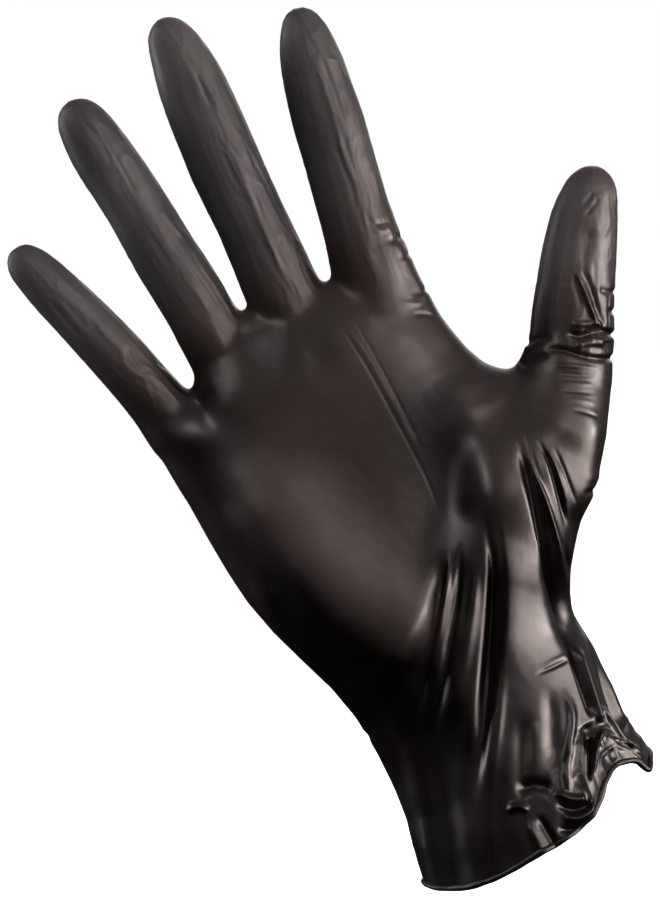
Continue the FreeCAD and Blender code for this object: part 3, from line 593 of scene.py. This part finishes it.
# the opening: scalloped edge, dipping in front, with a pulled-out corner on the thumb side
RIM = np.array([(-180, -1.2), (-172, -2.0), (-165, -3.4), (-158, -4.7), (-146, -6.0), (-130, -6.6), (-120, -6.5), (-110, -6.0),
                (-100, -5.4), (-92, -5.2), (-82, -5.0), (-72, -4.2), (-62, -2.6), (-54, 0.2), (-48, 3.2), (-40, 5.1), (-31, 5.6),
                (-24, 4.8), (-20, 3.6), (-17, 0.6), (-15, -0.2), (-13, 0.8), (-10, 2.4), (-5, 3.2), (0, 4.2), (12, 5.4), (28, 5.4),
                (45, 4.6), (70, 1.8), (100, -1.0), (130, -2.0), (160, -1.4), (180, -1.2)], float)


def rim_z(a):
    return np.interp(a, RIM[:, 0], RIM[:, 1])


fall = 1 - sstep(-3, 24, BASE[:, 2])
hook = np.exp(-((ang + 16) / 9) ** 2)
fall = fall * (1 - hook) + hook * (1 - sstep(-3, 10, BASE[:, 2]))
V[:, 2] += (rim_z(ang) + 3.0) * fall
corner = np.exp(-((ang + 4) / 13) ** 2) * np.exp(-((BASE[:, 2] + 3) / 8.0) ** 2)
V[:, 0] += 1.3 * corner
tuck = np.exp(-((ang + 30) / 12) ** 2) * np.exp(-((BASE[:, 2] + 3) / 9.0) ** 2)
V[:, 0] -= 1.5 * tuck * np.cos(np.radians(ang))
V[:, 1] -= 1.5 * tuck * np.sin(np.radians(ang))

E, cnt = edges_of(Q)
lock = np.zeros(len(V), bool)
lock[E[cnt == 1].ravel()] = True
V = smooth(V, E, 1, lock=lock, lam=0.35, mu=-0.30)
N = normals_of(V, Q)

# ------------------------------------------------------------------ cut into pieces
W = V + SHIFT                                    # row frame, mm
B0 = BASE + SHIFT

DIR = {"index": 11.3, "middle": 3.7, "ring": -5.0, "little": -17.5, "thumb": 29.0}
ROOT = {"index": (24.0, 154.8), "middle": (0.6, 156.5), "ring": (-21.2, 155.0), "little": (-42.1, 148.5), "thumb": (58.0, 105.0)}
LEN = {"index": (24.0, 47.0), "middle": (28.0, 55.0), "ring": (26.0, 51.0), "little": (18.0, 34.5), "thumb": (26.9,)}
SHARE = {"little": 0.84}
fc = B0[Q].mean(1)
label = np.full(len(Q), "palm_skin", dtype=object)
label[fc[:, 2] < 64] = "wrist_skin"
label[fc[:, 2] < 30] = "cuff_skin"
spec = {
    "cuff_skin": ("ride", "cuff", ["cuff"]),
    "wrist_skin": ("blend", "cuff", "palm", (0, 0, 31), (0, 0, 63), ["wrist_film"]),
    "palm_skin": ("ride", "palm", ["palm"]),
}
for f in ("index", "middle", "ring", "little", "thumb"):
    a = math.radians(DIR[f])
    d = np.array([math.sin(a), 0, math.cos(a)])
    root = np.array([ROOT[f][0], 0, ROOT[f][1]])
    s = (fc - root) @ d
    r = np.abs((fc[:, 0] - root[0]) * d[2] - (fc[:, 2] - root[2]) * d[0])
    lim = 14.5 if f != "thumb" else 20
    near = (r < lim) if f != "thumb" else ((r < lim) & (fc[:, 0] > 45))
    if f != "thumb":
        # nearest digit wins
        for g in ("index", "middle", "ring", "little"):
            if g == f:
                continue
            ag = math.radians(DIR[g])
            rg = np.abs((fc[:, 0] - ROOT[g][0]) * math.cos(ag) - (fc[:, 2] - ROOT[g][1]) * math.sin(ag))
            near &= r <= rg + 1e-9
    sh = SHARE.get(f, 1.0)
    P_ = lambda q: tuple(root + d * q)
    if f == "thumb":
        ip = LEN[f][0]
        label[near & (s > 0.6)] = "thumb_lower_skin"
        label[near & (s > ip - 8)] = "thumb_end_skin"
        b = math.radians(39.7)
        d2 = np.array([math.sin(b), 0, math.cos(b)])
        spec["thumb_lower_skin"] = ("blend", "palm", "thumb_lower", P_(1.4), P_(15.0), ["thumb_root_film", "thumb_proximal"])
        spec["thumb_end_skin"] = ("blend", "thumb_lower", "thumb_end", P_(ip - 7.0), tuple(root + d * ip + d2 * 8.0),
                                  ["thumb_ip_film", "thumb_tip"])
    else:
        pip, dip = LEN[f]
        label[near & (s > 1.0)] = f + "_lower_skin"
        label[near & (s > pip - 7.6 * sh)] = f + "_mid_skin"
        label[near & (s > dip - 6.6 * sh)] = f + "_end_skin"
        e1 = min(20.0, pip - 8.0 * sh)
        spec[f + "_lower_skin"] = ("blend", "palm", f + "_lower", P_(1.8), P_(e1), [f + "_root_film", f + "_proximal"])
        spec[f + "_mid_skin"] = ("blend", f + "_lower", f + "_mid", P_(pip - 6.8 * sh), P_(pip + 8.0 * sh),
                                 [f + "_pip_film", f + "_middle"])
        spec[f + "_end_skin"] = ("blend", f + "_mid", f + "_end", P_(dip - 5.8 * sh), P_(dip + 7.0 * sh),
                                 [f + "_dip_film", f + "_tip"])

FILM = 0.3
# film tone: paler where the film is drawn thin, least where it hangs loose, most over the fingers and the thumb's end;
# on the palm, wrist and cuff the same tone also holds a painted highlight and painted shade
def near_line(pts, w):
    pts = np.array(plan(pts))
    best = np.full(len(BASE), 1e9)
    for a_, b_ in zip(pts[:-1], pts[1:]):
        d_ = b_ - a_
        t_ = np.clip(((BASE[:, [0, 2]] - a_) @ d_) / (d_ @ d_), 0, 1)
        best = np.minimum(best, np.linalg.norm(BASE[:, [0, 2]] - a_ - t_[:, None] * d_, axis=1))
    return np.exp(-(best / (w * U)) ** 2)


# base tone, darker towards the cuff and paler up the palm
STRETCH_TONE_AND_PAINTED_LIGHT = 0.10 + 0.30 * sstep(44, 84, BASE[:, 2] + 0.18 * (BASE[:, 0] - 5))
# painted highlight: a lit band along the outer heel of the palm
STRETCH_TONE_AND_PAINTED_LIGHT += 0.60 * near_line([(276, 490), (318, 536), (366, 580), (414, 620)], 36)
# painted shade, each a darker zone: the left edge of the palm, the hollow of the hand, the strip below the heel, the
# pulled-out cuff corner, the pads under the fingers, the wrist folds, the thumb's flank and the lit panel over the
# wrist
STRETCH_TONE_AND_PAINTED_LIGHT -= 0.30 * near_line([(176, 386), (190, 430), (216, 492), (252, 546), (300, 596)], 26)
STRETCH_TONE_AND_PAINTED_LIGHT -= 0.40 * near_line([(428, 404), (442, 450), (455, 510), (462, 580)], 34)
STRETCH_TONE_AND_PAINTED_LIGHT -= 0.30 * near_line([(300, 600), (360, 650), (430, 690), (470, 660)], 34)
STRETCH_TONE_AND_PAINTED_LIGHT -= 0.25 * near_line([(600, 690), (630, 745)], 30)
STRETCH_TONE_AND_PAINTED_LIGHT -= 0.26 * near_line([(232, 330), (262, 346), (300, 346)], 32)
STRETCH_TONE_AND_PAINTED_LIGHT -= 0.16 * near_line([(545, 660), (575, 720)], 34) + 0.44 * near_line([(566, 396), (586, 440), (568, 506)], 32)
STRETCH_TONE_AND_PAINTED_LIGHT -= 0.24 * near_line([(535, 590), (541, 650)], 24)
STRETCH_TONE_AND_PAINTED_LIGHT = np.clip(STRETCH_TONE_AND_PAINTED_LIGHT, 0.04, 0.90) * 0.64
# fingers and the thumb's end paler, where the film is drawn thin
STRETCH_TONE_AND_PAINTED_LIGHT = STRETCH_TONE_AND_PAINTED_LIGHT + (1 - STRETCH_TONE_AND_PAINTED_LIGHT) * sstep(143, 176, BASE[:, 2] - 0.12 * (BASE[:, 0] - 5)) * (BASE[:, 0] < 50)
STRETCH_TONE_AND_PAINTED_LIGHT = np.maximum(STRETCH_TONE_AND_PAINTED_LIGHT, 0.22 + 0.63 * sstep(20, 46, (BASE[:, 0] - 58) * 0.485 + (BASE[:, 2] - 105) * 0.875 + 12) * (BASE[:, 0] > 50)
                  - 1.0 * (BASE[:, 0] <= 50))


def film_piece(name, fmask):
    q = Q[fmask]
    used, inv = np.unique(q, return_inverse=True)
    q = inv.reshape(-1, 4)
    vo, no = W[used], N[used]
    n0 = len(used)
    e = np.vstack([q[:, [0, 1]], q[:, [1, 2]], q[:, [2, 3]], q[:, [3, 0]]])
    key = np.sort(e, 1)
    _, first, c = np.unique(key, axis=0, return_index=True, return_counts=True)
    be = e[first[c == 1]]
    rim = np.stack([be[:, 1], be[:, 0], be[:, 0] + n0, be[:, 1] + n0], 1)
    vin = vo - no * FILM
    allv = np.vstack([vo, vin]) / 1000.0
    allq = np.vstack([q, q[:, ::-1] + n0, rim])
    me = to_mesh(name, allv, allq)
    me.polygons.foreach_set("use_smooth", np.ones(len(allq), bool))
    # the stretch attribute carries the film tone together with its painted highlight and painted shade
    at = me.attributes.new("stretch", "FLOAT", "POINT")
    at.data.foreach_set("value", np.r_[STRETCH_TONE_AND_PAINTED_LIGHT[used], STRETCH_TONE_AND_PAINTED_LIGHT[used]].astype(np.float32))
    me.normals_split_custom_set_from_vertices(np.vstack([no, -no]).astype(np.float32))
    ob = bpy.data.objects.new(name, me)
    bpy.context.scene.collection.objects.link(ob)
    return ob


# ------------------------------------------------------------------ materials
def film_material(name, base, rough):
    m = bpy.data.materials.new(name)
    m.use_nodes = True
    nt = m.node_tree
    nt.nodes.clear()
    out = nt.nodes.new("ShaderNodeOutputMaterial")
    bs = nt.nodes.new("ShaderNodeBsdfPrincipled")
    nt.links.new(bs.outputs[0], out.inputs[0])
    tc = nt.nodes.new("ShaderNodeTexCoord")

    def tex(scale, detail=2.0, rough_=0.5, dist=0.0):
        t = nt.nodes.new("ShaderNodeTexNoise")
        t.inputs["Scale"].default_value = scale
        t.inputs["Detail"].default_value = detail
        t.inputs["Roughness"].default_value = rough_
        t.inputs["Distortion"].default_value = dist
        nt.links.new(tc.outputs["Object"], t.inputs["Vector"])
        return t

    cloud = tex(38, 2)
    ramp = nt.nodes.new("ShaderNodeValToRGB")
    ramp.color_ramp.elements[0].position = 0.35
    ramp.color_ramp.elements[1].position = 0.68
    ramp.color_ramp.elements[0].color = (*[c * 0.75 for c in base], 1)
    ramp.color_ramp.elements[1].color = (*[c * 1.35 for c in base], 1)
    nt.links.new(cloud.outputs["Fac"], ramp.inputs["Fac"])
    # the stretch attribute scales and warms the base colour, which puts the painted highlight and painted shade into
    # the colour
    att = nt.nodes.new("ShaderNodeAttribute")
    att.attribute_name = "stretch"
    mixc = nt.nodes.new("ShaderNodeMix")
    mixc.data_type = "RGBA"
    mixc.blend_type = "MULTIPLY"
    mixc.inputs["Factor"].default_value = 1.0
    gain = nt.nodes.new("ShaderNodeMapRange")
    gain.inputs["To Min"].default_value = 0.0
    gain.inputs["To Max"].default_value = 4.1
    nt.links.new(att.outputs["Fac"], gain.inputs["Value"])
    nt.links.new(ramp.outputs["Color"], mixc.inputs["A"])
    nt.links.new(gain.outputs["Result"], mixc.inputs["B"])
    hue = nt.nodes.new("ShaderNodeMix")
    hue.data_type = "RGBA"
    nt.links.new(att.outputs["Fac"], hue.inputs["Factor"])
    hue.inputs["A"].default_value = (1.30, 0.78, 0.63, 1.0)
    hue.inputs["B"].default_value = (1.0, 0.99, 1.01, 1.0)
    warm = nt.nodes.new("ShaderNodeMix")
    warm.data_type = "RGBA"
    warm.blend_type = "MULTIPLY"
    warm.inputs["Factor"].default_value = 1.0
    nt.links.new(mixc.outputs["Result"], warm.inputs["A"])
    nt.links.new(hue.outputs["Result"], warm.inputs["B"])
    nt.links.new(warm.outputs["Result"], bs.inputs["Base Color"])
    rn = tex(110, 3, 0.6)
    mr = nt.nodes.new("ShaderNodeMapRange")
    mr.inputs["From Min"].default_value = 0.3
    mr.inputs["From Max"].default_value = 0.7
    mr.inputs["To Min"].default_value = rough - 0.05
    mr.inputs["To Max"].default_value = rough + 0.07
    nt.links.new(rn.outputs["Fac"], mr.inputs["Value"])
    radd = nt.nodes.new("ShaderNodeMath")
    radd.operation = "MULTIPLY_ADD"
    nt.links.new(att.outputs["Fac"], radd.inputs[0])
    radd.inputs[1].default_value = 0.16
    nt.links.new(mr.outputs["Result"], radd.inputs[2])
    nt.links.new(radd.outputs["Value"], bs.inputs["Roughness"])
    fine = tex(900, 3, 0.6, 0.4)
    mid = tex(260, 2, 0.5, 0.8)
    b1 = nt.nodes.new("ShaderNodeBump")
    b1.inputs["Strength"].default_value = 0.35
    b1.inputs["Distance"].default_value = 0.00012
    nt.links.new(mid.outputs["Fac"], b1.inputs["Height"])
    b2 = nt.nodes.new("ShaderNodeBump")
    b2.inputs["Strength"].default_value = 0.22
    b2.inputs["Distance"].default_value = 0.00004
    nt.links.new(fine.outputs["Fac"], b2.inputs["Height"])
    nt.links.new(b1.outputs["Normal"], b2.inputs["Normal"])
    nt.links.new(b2.outputs["Normal"], bs.inputs["Normal"])
    bs.inputs["IOR"].default_value = 1.5
    bs.inputs["Specular IOR Level"].default_value = 0.46
    bs.inputs["Specular Tint"].default_value = (1.0, 0.89, 0.86, 1.0)
    return m


film_mat = film_material("black_film", (0.0120, 0.0112, 0.0110), 0.355)
bead_mat = film_material("rolled_edge", (0.012, 0.0105, 0.010), 0.48)

for name, sp in spec.items():
    ob = film_piece(name, label == name)
    ob.data.materials.append(film_mat)
    if sp[0] == "ride":
        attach(ob, sp[1])
        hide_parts(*sp[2])
    else:
        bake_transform(ob)
        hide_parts(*sp[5])

# rolled edge that follows the opening
be = E[cnt == 1]
nxt = {}
for a, b in be:
    nxt.setdefault(a, []).append(b)
    nxt.setdefault(b, []).append(a)
start = be[0][0]
loop, prev, cur = [start], None, start
while True:
    cand = [k for k in nxt[cur] if k != prev]
    if not cand:
        break
    prev, cur = cur, cand[0]
    if cur == start:
        break
    loop.append(cur)
path = W[loop]
nseg = 420
cl = np.r_[0, np.cumsum(np.linalg.norm(np.diff(np.vstack([path, path[:1]]), axis=0), axis=1))]
closed = np.vstack([path, path[:1]])
ss = np.linspace(0, cl[-1], nseg, endpoint=False)
path = np.stack([np.interp(ss, cl, closed[:, k]) for k in range(3)], 1)
for _ in range(3):
    path = (np.roll(path, 1, 0) + path * 2 + np.roll(path, -1, 0)) / 4
tan = np.roll(path, -1, 0) - np.roll(path, 1, 0)
tan /= np.linalg.norm(tan, axis=1)[:, None]
upv = np.array([0, 0, 1.0])
sidev = np.cross(tan, upv)
sidev /= np.linalg.norm(sidev, axis=1)[:, None]
upv = np.cross(sidev, tan)
path = path + upv * 0.1
nr = 12
th = np.linspace(0, 2 * math.pi, nr, endpoint=False)
rad = 0.78 + 0.10 * np.sin(ss / cl[-1] * 2 * math.pi * 9) + 0.05 * np.sin(ss / cl[-1] * 2 * math.pi * 31 + 1)
ringv = path[:, None, :] + rad[:, None, None] * (np.cos(th)[None, :, None] * sidev[:, None, :] + np.sin(th)[None, :, None] * upv[:, None, :])
bv = ringv.reshape(-1, 3)
ii, jj = np.meshgrid(np.arange(nseg), np.arange(nr), indexing="ij")
i2, j2 = (ii + 1) % nseg, (jj + 1) % nr
bq = np.stack([ii * nr + jj, i2 * nr + jj, i2 * nr + j2, ii * nr + j2], -1).reshape(-1, 4)
fnv = np.cross(bv[bq[:, 2]] - bv[bq[:, 0]], bv[bq[:, 3]] - bv[bq[:, 1]])
outw = bv[bq].mean(1) - path[ii.ravel()]
if (fnv * outw).sum(1).mean() < 0:
    bq = bq[:, ::-1]
me = to_mesh("cuff_bead_roll", bv / 1000.0, bq)
me.polygons.foreach_set("use_smooth", np.ones(len(bq), bool))
bead = bpy.data.objects.new("cuff_bead_roll", me)
bpy.context.scene.collection.objects.link(bead)
bead.data.materials.append(bead_mat)
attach(bead, "cuff")
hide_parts("cuff_bead")


# ------------------------------------------------------------------ stage, light, camera
def plain(name, colour, emit, rough=0.9):
    m = bpy.data.materials.new(name)
    m.use_nodes = True
    b = m.node_tree.nodes["Principled BSDF"]
    b.inputs["Base Color"].default_value = (*colour, 1)
    b.inputs["Roughness"].default_value = rough
    b.inputs["Emission Color"].default_value = (1, 1, 1, 1)
    b.inputs["Emission Strength"].default_value = emit
    return m


def stage_piece(name, verts, faces, mat):
    me = bpy.data.meshes.new(name)
    me.from_pydata(verts, [], faces)
    me.polygons.foreach_set("use_smooth", np.ones(len(faces), bool))
    ob = bpy.data.objects.new(name, me)
    bpy.context.scene.collection.objects.link(ob)
    me.materials.append(mat)
    ob.visible_glossy = False
    ob.visible_diffuse = False
    return ob


white = plain("pale_floor", (0.9, 0.9, 0.9), 1.02)
fz = -0.0085
stage_piece("floor", [(-30, -30, fz), (30, -30, fz), (30, 30, fz), (-30, 30, fz)], [(0, 1, 2, 3)], white)

RIGHT = Vector((C26, 0, -S26))
UP = Vector((S26, 0, C26))
VIEW = Vector((0, 1, 0))
centre = Vector((-0.0066, 0.0, 0.1145))
cam_d = bpy.data.cameras.new("camera")
cam = bpy.data.objects.new("camera", cam_d)
bpy.context.scene.collection.objects.link(cam)
dist = 1.25
cam.matrix_world = Matrix((
    (RIGHT.x, UP.x, -VIEW.x, centre.x - VIEW.x * dist),
    (RIGHT.y, UP.y, -VIEW.y, centre.y - VIEW.y * dist),
    (RIGHT.z, UP.z, -VIEW.z, centre.z - VIEW.z * dist),
    (0, 0, 0, 1)))
cam_d.sensor_fit = "AUTO"
cam_d.sensor_width = 36
cam_d.lens = 36 * dist / 0.2362
cam_d.clip_end = 200
bpy.context.scene.camera = cam


def area(name, direction, dist_, size, energy, colour=(1, 1, 1)):
    d = Vector(direction).normalized()
    l = bpy.data.lights.new(name, "AREA")
    l.shape = "RECTANGLE"
    l.size, l.size_y = size
    l.energy = energy
    l.color = colour
    o = bpy.data.objects.new(name, l)
    bpy.context.scene.collection.objects.link(o)
    o.location = centre + d * dist_
    o.rotation_euler = (-d).to_track_quat("-Z", "Y").to_euler()
    return o


area("key", RIGHT * 0.97 - VIEW * 0.385 + UP * 0.07, 1.25, (0.88, 1.0), 35, (1, 0.955, 0.935))
area("soft_top", RIGHT * 0.40 - VIEW * 0.80 + UP * 0.46, 1.3, (0.45, 0.45), 4.6, (1, 0.96, 0.945))
sp_ = bpy.data.lights.new("finger_spot", "SPOT")
sp_.energy = 70
sp_.spot_size = math.radians(15.0)
sp_.spot_blend = 0.9
sp_.shadow_soft_size = 0.3
spot = bpy.data.objects.new("finger_spot", sp_)
bpy.context.scene.collection.objects.link(spot)
aim = centre + UP * 0.077 - RIGHT * 0.019
off = (UP * 0.50 - RIGHT * 0.66 - VIEW * 0.68).normalized()
spot.location = aim + off * 0.9
spot.rotation_euler = (-off).to_track_quat("-Z", "Y").to_euler()
tl = bpy.data.lights.new("thumb_spot", "SPOT")
tl.energy = 58
tl.spot_size = math.radians(10.5)
tl.spot_blend = 0.9
tl.shadow_soft_size = 0.12
tspot = bpy.data.objects.new("thumb_spot", tl)
bpy.context.scene.collection.objects.link(tspot)
aim = centre + UP * 0.006 + RIGHT * 0.068
off = (RIGHT * 1.0 - VIEW * 0.10 + UP * 0.10).normalized()
tspot.location = aim + off * 0.7
tspot.rotation_euler = (-off).to_track_quat("-Z", "Y").to_euler()
area("rim_left", RIGHT * -0.95 + VIEW * 0.26 + UP * 0.22, 1.2, (0.4, 1.0), 8.5)
area("back_soft", VIEW * 1.0 + UP * 0.5 + RIGHT * 0.2, 1.4, (1.0, 1.0), 6)

w = bpy.data.worlds.new("world")
bpy.context.scene.world = w
w.use_nodes = True
nt = w.node_tree
bg = nt.nodes["Background"]
tc = nt.nodes.new("ShaderNodeTexCoord")
dot = nt.nodes.new("ShaderNodeVectorMath")
dot.operation = "DOT_PRODUCT"
nt.links.new(tc.outputs["Generated"], dot.inputs[0])
dot.inputs[1].default_value = (RIGHT * 0.55 + UP * 0.75 - VIEW * 0.35).normalized()
mr = nt.nodes.new("ShaderNodeMapRange")
mr.inputs["From Min"].default_value = -1
mr.inputs["From Max"].default_value = 1
nt.links.new(dot.outputs["Value"], mr.inputs["Value"])
ramp = nt.nodes.new("ShaderNodeValToRGB")
ramp.color_ramp.elements[0].position = 0.42
ramp.color_ramp.elements[0].color = (0.010, 0.009, 0.0088, 1)
ramp.color_ramp.elements[1].position = 0.95
ramp.color_ramp.elements[1].color = (0.62, 0.585, 0.57, 1)
nt.links.new(mr.outputs["Result"], ramp.inputs["Fac"])
nt.links.new(ramp.outputs["Color"], bg.inputs["Color"])
bg.inputs["Strength"].default_value = 0.8
# a pale wall around the stage, far behind everything, for the eye only
R_ = 9.0
wv, wf = [], []
nn = 48
for i in range(nn):
    a = 2 * math.pi * i / nn
    wv += [(R_ * math.cos(a), R_ * math.sin(a), fz - 0.01), (R_ * math.cos(a), R_ * math.sin(a), 9.0)]
top_i = len(wv)
wv.append((0, 0, 9.0))
for i in range(nn):
    j = (i + 1) % nn
    wf.append((2 * i, 2 * i + 1, 2 * j + 1, 2 * j))
    wf.append((2 * i + 1, top_i, 2 * j + 1))
stage_piece("backdrop", wv, wf, plain("pale_wall", (0.0, 0.0, 0.0), 1.0))

vs = bpy.context.scene.view_settings
vs.view_transform = "Standard"
vs.look = "None"
vs.exposure = 0.0
vs.gamma = 1.0
